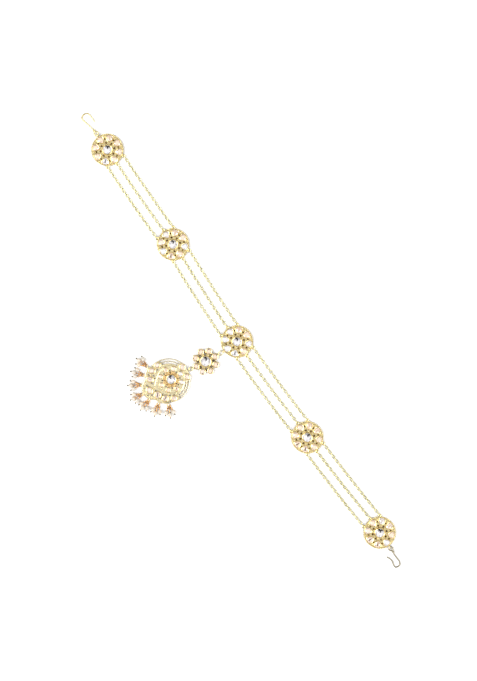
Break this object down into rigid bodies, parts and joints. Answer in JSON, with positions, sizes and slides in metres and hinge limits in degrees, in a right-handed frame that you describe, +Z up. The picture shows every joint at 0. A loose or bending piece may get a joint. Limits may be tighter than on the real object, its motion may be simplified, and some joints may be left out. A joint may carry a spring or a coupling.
{
  "type": "matha patti",
  "caption": "Head ornament of stone-set discs joined by rows of chain, with a flower link and a moon-shaped pendant fringed with pearls.",
  "frame": {"origin": "middle of the whole piece's box, on the surface it lies on", "axes": "+X along the band towards the right hook, +Y away from the pendant, +Z up from the surface, front of the stones upwards"},
  "size_m": [0.331, 0.087, 0.0037],
  "materials": {
    "gold": "pale gold plating, polished, darker in the recesses",
    "deep_gold": "warmer gold plating on the pearls' rings and pins",
    "hook_wire": "plain gold-plated wire, satin",
    "kundan_stone": "clear faceted glass, foiled at the back",
    "pearl": "imitation pearl, lustrous white"
  },
  "bodies": {
    "root": {"motif_1_setting": "gold", "motif_1_centre_stone": "kundan_stone", "motif_2_setting": "gold", "motif_2_centre_stone": "kundan_stone", "motif_3_setting": "gold", "motif_3_centre_stone": "kundan_stone", "motif_4_setting": "gold", "motif_4_centre_stone": "kundan_stone", "motif_5_setting": "gold", "motif_5_centre_stone": "kundan_stone", "chain_1_upper": "gold", "chain_1_middle": "gold", "chain_1_lower": "gold", "chain_2_upper": "gold", "chain_2_middle": "gold", "chain_2_lower": "gold", "chain_3_upper": "gold", "chain_3_middle": "gold", "chain_3_lower": "gold", "chain_4_upper": "gold", "chain_4_middle": "gold", "chain_4_lower": "gold", "hook_left": "hook_wire", "hook_right": "hook_wire", "flower_setting": "gold", "flower_centre_stone": "kundan_stone", "pendant_frame": "gold", "pendant_centre_stone": "kundan_stone", "pendant_leaf_left_stone": "kundan_stone", "pendant_leaf_right_stone": "kundan_stone", "pendant_rim_1_stone": "kundan_stone", "pendant_rim_2_stone": "kundan_stone", "pendant_rim_3_stone": "kundan_stone", "pendant_rim_4_stone": "kundan_stone", "pendant_rim_5_stone": "kundan_stone", "pendant_rim_6_stone": "kundan_stone", "pendant_rim_7_stone": "kundan_stone", "jump_ring_upper": "gold", "jump_ring_lower": "gold", "pearl_cluster_1": "deep_gold", "pearl_cluster_2": "deep_gold", "pearl_cluster_3": "deep_gold", "pearl_cluster_4": "deep_gold", "pearl_cluster_5": "deep_gold", "pearl_cluster_6": "deep_gold", "pearl_cluster_7": "deep_gold"}
  },
  "joints": []
}
